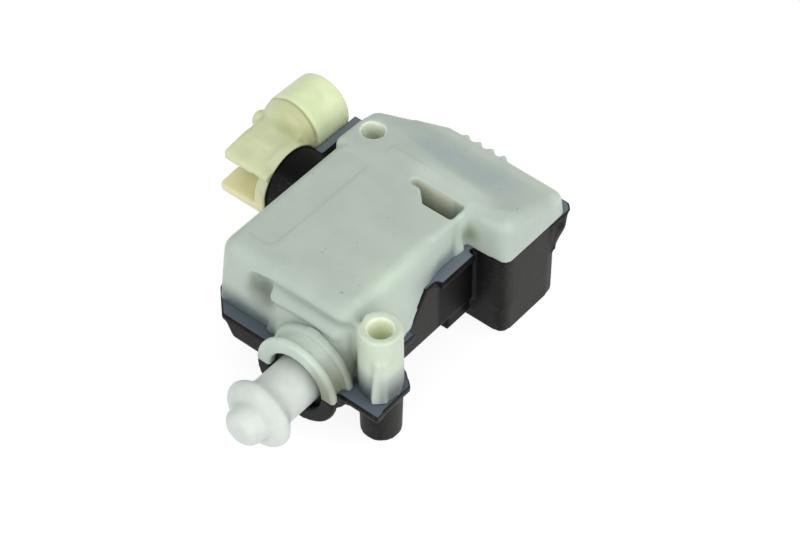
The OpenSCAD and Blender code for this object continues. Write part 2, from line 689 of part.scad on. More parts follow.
// Bearings, cradles and guides that stand on the floor inside the lower housing
module lower_ribs() {
    translate([boss_x, boss_y, -bay_depth]) cylinder(r = boss_r, h = bay_depth + parting_rise,
        $fn = round_fn);
    // guide bridge under the plunger's rod, slotted for its tail
    slot = tail_w / 2 + move_gap;
    difference() {
        box([-8, guide_y, -block_depth], [block_right, guide_y + guide_len, 0]);
        rod_y(rod_r + run_gap, guide_y - 1, guide_y + guide_len + 1, 0, 0);
        box([-slot, guide_y - 1, tail_bottom - move_gap], [slot, guide_y + guide_len + 1, 0]);
    }
    for (s = [-1, 1])
        translate([s * (slot + 0.6) - 0.6, 0, 0])
            box([0, guide_y + guide_len + 2.3, -block_depth], [1.2, rear_buffer_y - 0.7, floor_z + 1.7]);
    // open saddle for the output shaft's right-hand bush
    difference() {
        along_x(bush_rib_x, bush_rib_x + rib_t) polygon([[shaft_y - 6, -step_depth],
            [shaft_y + 6, -step_depth],
            [shaft_y + 5.2, shaft_z + 2.2], [shaft_y - 5.2, shaft_z + 2.2]]);
        rod_x(shaft_d / 2 + bush_t + press_gap, bush_rib_x - 1, bush_rib_x + rib_t + 1, shaft_y, shaft_z);
    }
    // inner ledges that carry the cover's right wall before and behind the saddle
    for (y = [[parting_y1 + 0.5, shaft_y - 4.2], [shaft_y + 4.2, bay_front + 1]])
        box([block_right - 2.8, y[0], parting_rise - rim_t], [block_right, y[1], parting_rise]);
    // idler's two bearing ribs
    for (x = [output_gear_x - 1.5, wheel_x + idler_wheel_t + 0.5])
        difference() {
            along_x(x, x + 1.1) polygon([[idler_y - 4, -bay_depth], [idler_y + 4, -bay_depth],
                [idler_y + 2, idler_z + 2], [idler_y - 2, idler_z + 2]]);
            rod_x(axle_d / 2 + press_gap, x - 1, x + 2, idler_y, idler_z);
        }
    // cradles under the motor
    for (x = [can_x + 0.3, can_end - 3.6])
        difference() {
            box([x, bay_front, -bay_depth], [x + rib_t, bay_rear, motor_z - 2]);
            along_x(x - 1, x + rib_t + 1) can_outline(press_gap);
            box([x - 1, motor_y - 2.5, strip_z - 1], [x + rib_t + 1, bay_rear - wall, strip_z + 1]);
        }
}

// Outline of the motor's can in Y and Z, grown by a gap
module can_outline(gap) {
    intersection() {
        translate([motor_y, motor_z]) circle(r = can_d / 2 + gap, $fn = round_fn);
        translate([motor_y - can_w / 2 - gap, motor_z - can_d]) square([can_w + 2 * gap, 2 * can_d]);
    }
}

module plunger() {
    r = rod_r;
    h = head_d / 2;
    k = knob_d / 2;
    w = head_reach;
    n = w + 2.7;
    color(white) difference() {
        union() {
            // distances in front of the collar's face, out to the knob
            translate([0, 0, 0]) rotate([90, 0, 0]) rotate_extrude($fn = round_fn)
                polygon([[0, -rod_end], [r - 0.4, -rod_end], [r, -rod_end + 0.4],
                    [r, -stop_y - stop_t], [stop_r, -stop_y - stop_t], [stop_r, -stop_y], [r, -stop_y],
                    [r, w - 3.9], [r + 0.15, w - 3.1], [r + 0.5, w - 2.3], [r + 1.1, w - 1.7],
                    [h - 0.55, w - 0.9],
                    [h - 0.1, w - 0.3], [h, w + 0.2], [h - 0.12, w + 0.9], [h - 0.6, w + 1.6],
                    [h - 1.4, w + 2.15],
                    [h - 2.4, w + 2.5], [k + 0.1, n], [k, n + 0.25], [k, n + 0.8], [k - 0.22, n + 0.95],
                    [k - 0.22, n + 1.15], [k - 0.08, n + 1.3], [k - 0.2, n + knob_len * 0.55],
                    [k - 0.6, n + knob_len * 0.78], [k - 1.3, n + knob_len * 0.93], [k - 2.2, n + knob_len],
                    [0, n + knob_len]]);
            tail();
        }
        // relief in the round rod over the tail's root
        box([-tail_w / 2 - move_gap, rod_end - 0.01, mesh_z], [tail_w / 2 + move_gap, rod_end + 1, far]);
    }
}

// Toothed tail: a flat bar under the output shaft with the rack on its top
module tail() {
    root = mesh_z - dedendum * rack_module;
    tip = mesh_z + addendum * rack_module;
    lean = tan(pressure_angle);
    half = rack_pitch / 4 - backlash / 4;
    first = floor((shaft_y - rod_end) / rack_pitch - 0.5);
    last = floor((tail_end - shaft_y) / rack_pitch - 0.5);
    teeth = [for (k = [-first:1:last]) let (c = shaft_y + (k + 0.5) * rack_pitch)
        each [[c - half - lean * (mesh_z - root), root], [c - half + lean * (tip - mesh_z), tip],
            [c + half - lean * (tip - mesh_z), tip], [c + half + lean * (mesh_z - root), root]]];
    along_x(-tail_w / 2, tail_w / 2) polygon(concat([[rod_end - 4, tail_bottom], [rod_end - 4, root]],
        teeth,
        [[tail_end, root], [tail_end, tail_bottom]]));
}

module plunger_wiper() {
    color(rubber) turned_y(0, 0) polygon([[rod_r + run_gap, wiper_y + 0.1],
        [rod_r + run_gap + 0.5, wiper_y + 0.1],
        [wiper_r - 0.6, wiper_y + 0.5], [wiper_r, wiper_y + 0.1], [wiper_r, wiper_y + wiper_len - 0.1],
        [rod_r + 0.9, wiper_y + wiper_len - 0.1], [rod_r + run_gap, wiper_y + 1]]);
}

module front_buffer() {
    color(rubber) difference() {
        rod_y(stop_r, chamber_y + 0.05, chamber_y + 0.05 + buffer_t, 0, 0);
        rod_y(rod_r + move_gap, chamber_y - 1, chamber_y + 2 * buffer_t, 0, 0);
    }
}

module rear_buffer() {
    y0 = rear_buffer_y;
    slot = tail_w / 2 + move_gap;
    side = bush_rib_x - 0.1;
    color(rubber) difference() {
        box([-side, y0, floor_z], [side, y0 + 2, shaft_z - drive_tip - move_gap]);
        box([-slot, y0 - 1, floor_z + 0.2], [slot, y0 + 3, 10]);
    }
}

module output_shaft() {
    color(steel) difference() {
        rod_x(shaft_d / 2, shaft_end, bush_rib_x + rib_t + 0.4, shaft_y, shaft_z);
        rod_x(screw_r + press_gap, shaft_end - 1, shaft_end + lever_screw_len + 0.5, shaft_y, shaft_z);
    }
}

module drive_pinion() {
    w = tail_w + 0.4;
    color(black) difference() {
        union() {
            gear(rack_module, drive_teeth, -w / 2, w / 2, shaft_y, shaft_z, -90);
            rod_x(shaft_d / 2 + 0.9, -w / 2 - 1, pinion_end, shaft_y, shaft_z);
        }
        rod_x(shaft_d / 2 + press_gap, -w, w, shaft_y, shaft_z);
    }
}

module output_gear() {
    color(white) difference() {
        union() {
            gear(output_module, output_teeth, output_gear_x, output_gear_x + output_gear_t, shaft_y,
                shaft_z, angle_oi);
            rod_x(shaft_d / 2 + 1.6, output_gear_x - 2, output_gear_x + output_gear_t + 3, shaft_y,
                shaft_z);
        }
        rod_x(shaft_d / 2 + press_gap, -far / 2, 0, shaft_y, shaft_z);
        // dished web and lightening holes
        for (s = [-1, output_gear_t - 0.8])
            difference() {
                rod_x(output_r - 1.6, output_gear_x + s, output_gear_x + s + 1.8, shaft_y, shaft_z);
                rod_x(shaft_d / 2 + 1.6, output_gear_x - 5, output_gear_x + 9, shaft_y, shaft_z);
            }
        for (k = [0:5])
            translate([0, shaft_y, shaft_z]) rotate([60 * k, 0, 0])
                rod_x(1.1, output_gear_x - 1, output_gear_x + output_gear_t + 1, 6.5, 0);
    }
}

module thrust_washer() {
    x0 = output_gear_x - 2 - 0.65;
    color(steel) difference() {
        rod_x(shaft_d / 2 + 2, x0, x0 + 0.6, shaft_y, shaft_z);
        rod_x(shaft_d / 2 + run_gap, x0 - 1, x0 + 2, shaft_y, shaft_z);
    }
}

module shaft_seal() {
    r = seal_len / 2 - 0.3;
    color(rubber) turned_x(shaft_y, shaft_z)
        translate([shaft_d / 2 + 0.7, seal_x + seal_len / 2]) intersection() {
            circle(r = r, $fn = 24);
            square([1.36, 4], center = true);
        }
}

module shaft_bush() {
    color(white) difference() {
        union() {
            rod_x(shaft_d / 2 + bush_t, bush_rib_x - bush_flange_t, bush_rib_x + rib_t, shaft_y, shaft_z);
            rod_x(shaft_d / 2 + bush_t + 0.9, bush_rib_x - bush_flange_t, bush_rib_x - 0.02, shaft_y,
                shaft_z);
        }
        rod_x(shaft_d / 2 + run_gap, bush_rib_x - 3, bush_rib_x + 4, shaft_y, shaft_z);
    }
}

module release_lever() {
    back = lever_back;
    y = shaft_y;
    z = shaft_z;
    front = y - 1.7;
    color(ivory) difference() {
        union() {
            // drum round the shaft with a flat front wall between the blades
            difference() {
                turned_x(y, z) polygon([[0, back], [drum_r - 1.3, back], [drum_r - 0.4, back + 0.4],
                    [drum_r, back + 1.3], [drum_r, ring_x + 0.1], [0, ring_x + 0.1]]);
                box([back - 1, y - drum_r - 1, z - drum_r - 1], [ring_x, front, z + drum_r + 1]);
            }
            // ring that covers the end of the hub
            rod_x(ring_r, ring_x, lever_rim, y, z);
            // flat saddle between the drum's top and the barrel
            intersection() {
                along_x(back, lever_rim - 1.6) polygon([[front, z + 4], [front, z + drum_r - 0.6],
                    [y + 0.4, z + drum_r],
                    [y + 7, z + drum_r], [barrel_y + 0.1, z + drum_r - 1.5], [barrel_y + 0.1, z + 1],
                    [y + 3, z]]);
                along_y(y - far, y + far) polygon(rounded([[back, z - 9], [lever_rim + 3, z - 9],
                    [lever_rim + 3, z + drum_r], [back, z + drum_r]], 1.5));
            }
            // upper and lower finger blades
            lever_blade([[front + 2, z + 7.75], [front, z + 7.75], [y - 7.9, z + 5.3 + blade_tip_t],
                [y - 7.9, z + 5.3],
                [front + 2, z + 5.3]], [0, 0, 0.7, 0.7, 0]);
            lever_blade([[front + 2, z - 0.5], [y - 9.5, z - 1], [y - 9.5, z - 1.2 - blade_tip_t],
                [front + 2, z - 3.6]],
                [0, 0.75, 0.75, 0]);
            lever_barrel();
            // peg on the outer side
            turned_x(y + 5.8, z + 5.7) polygon([[0, back + 1], [2, back + 1], [2, back - 1.7],
                [1.6, back - 2.2], [0.9, back - 2.45], [0, back - 2.5]]);
        }
        rod_x(hub_d / 2 + 0.25, hub_face - 0.3, lever_rim + 1, y, z);
        rod_x(shaft_d / 2 + press_gap, shaft_end - 0.3, lever_rim + 1, y, z);
        rod_x(screw_r + 0.15, back + 1, shaft_end, y, z);
        rod_x(screw_head_r + 0.9, back - 5, back + counterbore, y, z);
    }
}

// Finger blade from its side view, with the outer corner of its tip rounded
module lever_blade(points, r) {
    x = lever_back + 0.3;
    tip = min([for (p = points) p[0]]);
    intersection() {
        along_x(x, lever_rim) polygon(rounded(points, r, 6));
        plate([[x, tip], [lever_rim, tip], [lever_rim, shaft_y + 3], [x, shaft_y + 3]], [1.2, 0, 0, 0],
            -far, far);
    }
}

// Hollow barrel behind the drum, with a rounded neck and a shallow shoulder
module lever_barrel() {
    r = barrel_d / 2;
    y0 = barrel_y;
    y1 = barrel_y + barrel_len;
    neck = y0 - 3.4;
    turned_y(barrel_x, barrel_z) polygon([[0, neck], [r - 2.9, neck], [r - 1.9, neck + 0.4],
        [r - 1, neck + 1.2],
        [r - 0.4, neck + 2.2], [r - 0.15, y0], [r - 0.15, y0 + 0.5], [r, y0 + 0.6], [r - 0.15, y1 - 2],
        [r - 0.25, y1 - 0.5], [r - 0.7, y1], [r - 2.2, y1], [r - 2.4, y1 - 7], [0, y1 - 7]]);
}

module lever_screw() {
    head = lever_back + counterbore - 0.45;
    color(steel) difference() {
        union() {
            rod_x(screw_r, head - 0.5, shaft_end + lever_screw_len, shaft_y, shaft_z);
            turned_x(shaft_y, shaft_z) polygon([[0, head - 1.6], [screw_r, head - 1.6],
                [screw_head_r - 0.2, head - 1],
                [screw_head_r, head], [0, head]]);
        }
        for (a = [0, 90])
            translate([0, shaft_y, shaft_z]) rotate([a, 0, 0])
                box([head - 2, -screw_r - 0.1, -0.25], [head - 0.8, screw_r + 0.1, 0.25]);
    }
}

module lever_washer() {
    x0 = lever_back + counterbore - 0.4;
    color(steel) difference() {
        rod_x(screw_head_r + 0.6, x0, x0 + 0.35, shaft_y, shaft_z);
        rod_x(screw_r + 0.1, x0 - 1, x0 + 1, shaft_y, shaft_z);
    }
}

module idler_gear() {
    wheel_end = wheel_x + idler_wheel_t;
    color(white) difference() {
        union() {
            gear(motor_module, idler_teeth, wheel_x, wheel_end, idler_y, idler_z, angle_im);
            gear(output_module, small_teeth, output_gear_x - 0.2, wheel_x + 0.1, idler_y, idler_z,
                angle_oi + 180 + 180 / small_teeth);
            rod_x(axle_d / 2 + 1, wheel_end - 0.1, wheel_end + 0.3, idler_y, idler_z);
        }
        rod_x(axle_d / 2 + run_gap, -far / 2, 0, idler_y, idler_z);
    }
}

module idler_axle() {
    color(steel) rod_x(axle_d / 2, output_gear_x - 1.5, wheel_x + idler_wheel_t + 1.6, idler_y, idler_z);
}

module motor_can() {
    color(steel) difference() {
        union() {
            along_x(can_x, can_end) can_outline(0);
            rod_x(rotor_shaft_d / 2 + 2, can_x - nose_len, can_x + 0.5, motor_y, motor_z);
        }
        along_x(can_x + can_t, can_end + 1) can_outline(-can_t);
        rod_x(rotor_shaft_d / 2 + 1.2 + press_gap, can_x - nose_len - 1, can_x + 2, motor_y, motor_z);
    }
}

module motor_magnets() {
    outer = can_d / 2 - can_t - press_gap;
    inner = outer - magnet_t;
    color(rubber) intersection() {
        difference() {
            rod_x(outer, can_x + 2, can_end - 5, motor_y, motor_z);
            rod_x(inner, can_x, can_end, motor_y, motor_z);
        }
        union() {
            for (s = [-1, 1])
                translate([0, 0, motor_z + s * outer])
                    box([can_x, motor_y - can_w / 2 + 1.95, -outer / 2],
                    [can_end, motor_y + can_w / 2 - 1.95, outer / 2]);
        }
    }
}

module motor_end_cap() {
    color(black) difference() {
        union() {
            along_x(can_end, can_end + cap_len) can_outline(-0.3);
            along_x(can_end - 1.6, can_end + 0.1) can_outline(-can_t - press_gap);
            rod_x(rotor_shaft_d / 2 + 2.4, can_end - 1.6, can_end + cap_len + 0.3, motor_y, motor_z);
        }
        rod_x(rotor_shaft_d / 2 + 1.2 + press_gap, can_end - 3, can_end + cap_len - 0.5, motor_y, motor_z);
    }
}

module motor_bush(x0, x1) {
    color(brass) difference() {
        rod_x(rotor_shaft_d / 2 + 1.2, x0, x1, motor_y, motor_z);
        rod_x(rotor_shaft_d / 2 + run_gap, x0 - 1, x1 + 1, motor_y, motor_z);
    }
}

module motor_front_bush() {
    motor_bush(can_x - nose_len, can_x + can_t);
}

module motor_rear_bush() {
    motor_bush(can_end - 1, can_end + cap_len - 0.6);
}

module motor_brushes() {
    x0 = can_end - 4.4;
    r = commutator_d / 2 + run_gap;
    color(copper) for (s = [-1, 1])
        translate([0, motor_y, motor_z]) rotate([s * 90, 0, 0]) {
            box([x0, -0.9, r], [x0 + 1.6, 0.9, r + 1.6]);
            box([x0 + 0.4, -0.5, r + 1.6], [can_end - 1.6, 0.5, r + 2]);
        }
}

module motor_pad() {
    // strip between the can's crown and the sloping roof
    z0 = motor_z + can_d / 2;
    color(rubber) difference() {
        box([can_x + 3, motor_y - 3, z0 - 0.6], [can_x + 3 + pad_len, motor_y - 3 + pad_w, z0 + 0.85]);
        rod_x(can_d / 2 + press_gap, can_x, can_end, motor_y, motor_z);
    }
}

module rotor_shaft() {
    color(steel) rod_x(rotor_shaft_d / 2, wheel_x - 1.4, can_end + cap_len - 0.8, motor_y, motor_z);
}

// Laminated core with three slots for the windings
module rotor_core() {
    r = core_d / 2;
    color(steel) difference() {
        rod_x(r, core_x0, core_x1, motor_y, motor_z);
        rod_x(rotor_shaft_d / 2 + press_gap, can_x, can_end, motor_y, motor_z);
        for (k = [0:2])
            translate([0, motor_y, motor_z]) rotate([120 * k, 0, 0]) {
                box([can_x, -0.5, r - 2.6], [can_end, 0.5, r + 2]);
                box([can_x, -1.7, r - 3], [can_end, 1.7, r - 1]);
            }
    }
}

module rotor_windings() {
    x0 = core_x0 - 1.2;
    x1 = core_x1 + 1.2;
    r = core_d / 2;
    color(copper) difference() {
        union() {
            rod_x(r - 1, x0, core_x0 - press_gap, motor_y, motor_z);
            rod_x(r - 1, core_x1 + press_gap, x1, motor_y, motor_z);
            for (k = [0:2])
                translate([0, motor_y, motor_z]) rotate([120 * k, 0, 0])
                    box([x0 + 0.2, -1.65, r - 2.95], [x1 - 0.2, 1.65, r - 1.05]);
        }
        rod_x(rotor_shaft_d / 2 + press_gap, can_x, can_end, motor_y, motor_z);
    }
}

module commutator() {
    r = commutator_d / 2;
    x0 = commutator_x1 - commutator_len;
    color(copper) difference() {
        rod_x(r, x0, commutator_x1, motor_y, motor_z);
        rod_x(rotor_shaft_d / 2 + press_gap, can_x, can_end, motor_y, motor_z);
        for (k = [0:2])
            translate([0, motor_y, motor_z]) rotate([120 * k + 60, 0, 0])
                box([x0 + 0.4, -0.15, r - 0.4], [can_end, 0.15, r + 0.7]);
    }
}

module motor_pinion() {
    color(brass) difference() {
        gear(motor_module, small_teeth, wheel_x - 0.4, wheel_x + idler_wheel_t + 0.4, motor_y, motor_z,
            angle_im + 180 + 180 / small_teeth);
        rod_x(rotor_shaft_d / 2 + press_gap, -far / 2, 0, motor_y, motor_z);
    }
}

// Bent contact strip from a socket blade to the motor's end cap
module terminal(blade, turn_y) {
    x_up = can_end + cap_len + 0.35;
    color(brass) {
        box([blade - blade_w / 2, turn_y, strip_z - blade_t / 2],
            [blade + blade_w / 2, blade_end, strip_z + blade_t / 2]);
        box([blade - blade_w / 2, turn_y, strip_z - blade_t / 2],
            [x_up + 0.5, turn_y + blade_w, strip_z + blade_t / 2]);
        box([x_up, turn_y, strip_z - blade_t / 2], [x_up + 0.5, turn_y + blade_w, motor_z - 3]);
    }
}

module terminal_left() {
    terminal(socket_x - blade_x, motor_y - 1);
}

module terminal_right() {
    terminal(socket_x + blade_x, motor_y + 2.4);
}

cover();
lower_housing();
plunger();
plunger_wiper();
front_buffer();
rear_buffer();
output_shaft();
drive_pinion();
output_gear();
thrust_washer();
shaft_seal();
shaft_bush();
release_lever();
lever_screw();
lever_washer();
idler_gear();
idler_axle();
motor_can();
motor_magnets();
motor_end_cap();
motor_front_bush();
motor_rear_bush();
motor_brushes();
motor_pad();
rotor_shaft();
rotor_core();
rotor_windings();
commutator();
motor_pinion();
terminal_left();
terminal_right();
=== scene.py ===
from math import cos, pi, radians

import bmesh
import bpy
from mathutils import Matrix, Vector


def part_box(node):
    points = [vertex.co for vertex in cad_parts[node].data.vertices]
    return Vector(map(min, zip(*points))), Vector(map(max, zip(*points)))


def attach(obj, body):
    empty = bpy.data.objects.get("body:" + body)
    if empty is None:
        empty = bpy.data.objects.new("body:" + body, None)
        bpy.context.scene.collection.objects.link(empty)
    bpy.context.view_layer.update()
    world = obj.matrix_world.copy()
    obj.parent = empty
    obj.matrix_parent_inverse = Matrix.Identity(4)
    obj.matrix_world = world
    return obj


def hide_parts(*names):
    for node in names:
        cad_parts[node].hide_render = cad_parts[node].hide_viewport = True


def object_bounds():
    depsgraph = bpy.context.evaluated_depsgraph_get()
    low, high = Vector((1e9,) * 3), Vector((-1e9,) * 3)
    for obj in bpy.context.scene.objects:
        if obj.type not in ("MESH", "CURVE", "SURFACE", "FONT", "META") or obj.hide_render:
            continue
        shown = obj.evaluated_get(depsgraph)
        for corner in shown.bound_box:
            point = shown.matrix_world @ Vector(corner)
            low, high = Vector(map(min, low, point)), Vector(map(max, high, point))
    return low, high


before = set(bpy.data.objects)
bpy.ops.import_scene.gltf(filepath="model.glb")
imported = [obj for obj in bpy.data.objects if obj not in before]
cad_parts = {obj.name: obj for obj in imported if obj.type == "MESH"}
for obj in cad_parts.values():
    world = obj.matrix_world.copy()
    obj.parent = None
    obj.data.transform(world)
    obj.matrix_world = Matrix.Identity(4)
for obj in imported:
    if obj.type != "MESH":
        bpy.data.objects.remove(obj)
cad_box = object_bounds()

MM_IN_M = 1000
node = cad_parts
collection = bpy.context.scene.collection

camera_place = (0.2402637, -0.2572956, 0.4106715)
camera_tilt, camera_turn = radians(43), radians(39.6)
lens_mm, film_width_mm = 121.5, 36
camera = bpy.data.objects.new("camera", bpy.data.cameras.new("camera"))
collection.objects.link(camera)
camera.location = camera_place
camera.rotation_euler = (camera_tilt, 0, camera_turn)
camera.data.sensor_width = film_width_mm
camera.data.lens = lens_mm
camera.data.clip_start = 0.01
bpy.context.scene.camera = camera
bpy.context.scene.view_settings.view_transform = "Standard"


class Value:
    """A shader socket that takes part in Python expressions."""

    def __init__(self, finish, socket):
        self.finish = finish
        self.socket = socket

    def maths(self, operation, *others):
        return self.finish.add("ShaderNodeMath", {"operation": operation}, *others)

    def __add__(self, other):
        return self.maths("ADD", self, other)

    def __radd__(self, other):
        return self.maths("ADD", other, self)

    def __sub__(self, other):
        return self.maths("SUBTRACT", self, other)

    def __rsub__(self, other):
        return self.maths("SUBTRACT", other, self)

    def __mul__(self, other):
        return self.maths("MULTIPLY", self, other)

    def __rmul__(self, other):
        return self.maths("MULTIPLY", other, self)


class Finish:
    """One material: its node tree and shader, the place on the object in mm, and the way the surface faces."""

    def __init__(self, name, colour, roughness, **constants):
        self.material = bpy.data.materials.new(name)
        self.material.use_nodes = True
        self.tree = self.material.node_tree
        self.shader = self.tree.nodes["Principled BSDF"]
        self.shader.inputs["Base Color"].default_value = (*colour, 1)
        self.shader.inputs["Roughness"].default_value = roughness
        for socket, value in constants.items():
            self.shader.inputs[socket.replace("_", " ")].default_value = value
        self.place = self.add("ShaderNodeTexCoord", output="Object")
        self.x, self.y, self.z = (part * MM_IN_M for part in self.apart(self.place))
        self.right, _, self.up = self.apart(self.add("ShaderNodeTexCoord", output="Normal"))

    def add(self, kind, settings=None, *inputs, output=0, **named):
        """Adds a node from its type, its settings, and the values or links of its sockets, in order or by name."""
        made = self.tree.nodes.new(kind)
        for key, value in (settings or {}).items():
            setattr(made, key, value)
        for socket, value in list(zip(made.inputs, inputs)) + [
            (made.inputs[key.replace("_", " ")], value) for key, value in named.items()
        ]:
            if isinstance(value, Value):
                self.tree.links.new(value.socket, socket)
            elif value is not None:
                socket.default_value = (*value, 1) if socket.type == "RGBA" and len(value) == 3 else value
        return Value(self, made.outputs[output])

    def apart(self, vector):
        """The three numbers that a vector holds."""
        parted = self.add("ShaderNodeSeparateXYZ", None, vector)
        return [Value(self, socket) for socket in parted.socket.node.outputs]

    def noise(self, size_mm, detail=3, roughness=0.55, stretch=(1, 1, 1)):
        """Cloudy pattern with lumps of about the given size, longer along an axis with a small stretch."""
        where = self.add("ShaderNodeMapping", None, self.place, Scale=stretch)
        return self.add("ShaderNodeTexNoise", None, Vector=where, Scale=MM_IN_M / size_mm, Detail=detail,
                        Roughness=roughness)

    def step(self, value, start, end):
        """Runs smoothly from 0 to 1 while the value goes from start to end."""
        return self.add("ShaderNodeMapRange", {"interpolation_type": "SMOOTHSTEP"}, value, start, end)

    def between(self, value, start, end, soft):
        """1 while the value lies between start and end, fading over the given softness on both sides."""
        return self.step(value, start - soft, start + soft) * self.step(value, end + soft, end - soft)

    def spot(self, centre_mm, radius_mm, soft_mm, shape=(1, 1, 1)):
        """1 inside a ball, or an ellipsoid when its shape is given, fading to 0 outside."""
        centre = tuple(c / MM_IN_M * s for c, s in zip(centre_mm, shape))
        where = self.add("ShaderNodeVectorMath", {"operation": "MULTIPLY"}, self.place, shape)
        away = self.add("ShaderNodeVectorMath", {"operation": "DISTANCE"}, where, centre, output="Value")
        return self.step(away * MM_IN_M, radius_mm + soft_mm, radius_mm - soft_mm)

    def mix(self, blend_type, factor, first, second):
        """A Mix node for colours, whose own sockets come after those for numbers and vectors."""
        other_kinds = [None] * 5
        return self.add("ShaderNodeMix", {"data_type": "RGBA", "blend_type": blend_type},
                        factor, *other_kinds, first, second, output=2)

    def blend(self, factor, first, second):
        """Goes from the first colour to the second while the factor goes from 0 to 1."""
        return self.mix("MIX", factor, first, second)

    def stained(self, colour, *stains):
        """The colour multiplied by each stain's colour where that stain's mask is 1."""
        for mask, stain in stains:
            colour = self.mix("MULTIPLY", mask, colour, stain)
        return colour

    def feed(self, **sockets):
        """Links patterns to the shader's sockets."""
        for name, value in sockets.items():
            self.tree.links.new(value.socket, self.shader.inputs[name.replace("_", " ")])

    def bump(self, height, strength, distance_mm):
        """Gives the surface the small relief of a pattern."""
        self.feed(Normal=self.add("ShaderNodeBump", None, Strength=strength, Distance=distance_mm / MM_IN_M,
                                  Height=height))

    def paint(self, *objects):
        """Makes this the one material of each piece."""
        for thing in objects:
            thing.data.materials.clear()
            thing.data.materials.append(self.material)


def seen_or_mirrored(finish):
    """1 for the camera and for what gloss and glass show, 0 for the light that reaches the object."""
    rays = finish.add("ShaderNodeLightPath").socket.node.outputs
    camera_ray, glossy_ray, clear_ray = (Value(finish, rays[name]) for name in (
        "Is Camera Ray", "Is Glossy Ray", "Is Transmission Ray"))
    return camera_ray.maths("MINIMUM", camera_ray + glossy_ray + clear_ray, 1.0)


sweep_finish = Finish("white_sweep", (0.8, 0.8, 0.8), 0.9)
paper = sweep_finish.add("ShaderNodeBsdfDiffuse", None, Color=(0.2, 0.2, 0.2))
glow = sweep_finish.add("ShaderNodeEmission", None, Color=(1, 1, 1), Strength=0.88)
lit_paper = sweep_finish.add("ShaderNodeAddShader", None, paper, glow)
shown = sweep_finish.add("ShaderNodeMixShader", None, seen_or_mirrored(sweep_finish),
                         Value(sweep_finish, sweep_finish.shader.outputs[0]), lit_paper)
sweep_finish.tree.links.new(shown.socket, sweep_finish.tree.nodes["Material Output"].inputs["Surface"])

sweep_half_width, sweep_drop = 3, 0.0003
grid = bmesh.new()
bmesh.ops.create_grid(grid, x_segments=1, y_segments=1, size=sweep_half_width)
bmesh.ops.translate(grid, vec=(0, 0, cad_box[0][2] - sweep_drop), verts=grid.verts)
sweep = bpy.data.objects.new("sweep", bpy.data.meshes.new("sweep"))
grid.to_mesh(sweep.data)
grid.free()
collection.objects.link(sweep)
sweep_finish.paint(sweep)

sky = bpy.data.worlds.new("sky")
bpy.context.scene.world = sky
sky.use_nodes = True
sky_light = sky.node_tree.nodes["Background"].inputs
sky_light["Color"].default_value = (1, 1, 1, 1)
sky_light["Strength"].default_value = 0.5

lamps_look_at = Vector((0, 0.03, 0))


def soft_lamp(name, place, side, power):
    """A square soft lamp that looks at the middle of the actuator."""
    lamp = bpy.data.objects.new(name, bpy.data.lights.new(name, "AREA"))
    collection.objects.link(lamp)
    lamp.data.size = side
    lamp.data.energy = power
    lamp.location = place
    lamp.rotation_euler = (lamps_look_at - Vector(place)).to_track_quat("-Z", "Y").to_euler()


soft_lamp("lamp_right", (0.72, 0.0, 0.50), 1.0, 4.4)
soft_lamp("lamp_front", (0.05, -0.72, 0.38), 0.6, 2.5)
soft_lamp("lamp_above", (-0.2, 0.35, 0.8), 0.7, 0.5)

# Cover: the upper shell, with the saddle over the plunger, half of the collar and the front screw post.
# It is moulded in milky, slightly translucent plastic, so what lies under the thin walls shows faintly through.
# Moulded edges are soft, so a soft-edged copy of the solid stands for it.
SAME_POINT = 2e-6
FARTHEST_PRESSED = 0.012


def softened(name, body, voxel_mm, rounds, ribs=(), presses=(), eases=()):
    """Soft-edged copy of a moulding that stands for its node. A rib is the corners of a wedge that is added.
    An ease is a ball's centre and radius and how often the skin inside is smoothed. A press is a line, its
    reach to the side and its depth, less than 0 for a raised line. All sizes are in mm."""
    copy = bpy.data.objects.new(name + "_moulding", node[name].data.copy())
    collection.objects.link(copy)
    work = bmesh.new()
    work.from_mesh(copy.data)
    bmesh.ops.remove_doubles(work, verts=work.verts, dist=SAME_POINT)
    for corners_mm in ribs:
        corners = [work.verts.new([c / MM_IN_M for c in corner]) for corner in corners_mm]
        hull = bmesh.ops.convex_hull(work, input=corners)
        bmesh.ops.recalc_face_normals(work, faces=[f for f in hull["geom"] if isinstance(f, bmesh.types.BMFace)])
    work.to_mesh(copy.data)
    work.free()
    skin = copy.modifiers.new("skin", "REMESH")
    skin.mode = "VOXEL"
    skin.voxel_size = voxel_mm / MM_IN_M
    skin.use_smooth_shade = True
    relax = copy.modifiers.new("relax", "SMOOTH")
    relax.factor = 0.5
    relax.iterations = rounds
    done = bpy.data.meshes.new_from_object(copy.evaluated_get(bpy.context.evaluated_depsgraph_get()))
    copy.modifiers.clear()
    copy.data = done
    work = bmesh.new()
    work.from_mesh(done)
    for centre_mm, reach_mm, times in eases:
        centre = Vector(centre_mm) / MM_IN_M
        near = [v for v in work.verts if (v.co - centre).length < reach_mm / MM_IN_M]
        for _ in range(times):
            bmesh.ops.smooth_vert(work, verts=near, factor=0.5, use_axis_x=True, use_axis_y=True, use_axis_z=True)
    for line_mm, reach_mm, depth_mm in presses:
        line = [Vector(p) / MM_IN_M for p in line_mm]
        moves = []
        for v in work.verts:
            if min((v.co - p).length for p in line) > FARTHEST_PRESSED:
                continue
            away = 1.0
            for start, end in zip(line, line[1:]):
                along = end - start
                t = min(1, max(0, (v.co - start).dot(along) / along.length_squared))
                away = min(away, (v.co - start - t * along).length)
            if away < reach_mm / MM_IN_M:
                fade = 1 + cos(pi * away * MM_IN_M / reach_mm)
                moves.append((v, v.normal * (-depth_mm / (2 * MM_IN_M) * fade)))
        for v, move in moves:
            v.co += move
    work.to_mesh(done)
    work.free()
    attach(copy, body)
    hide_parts(name)
    return copy


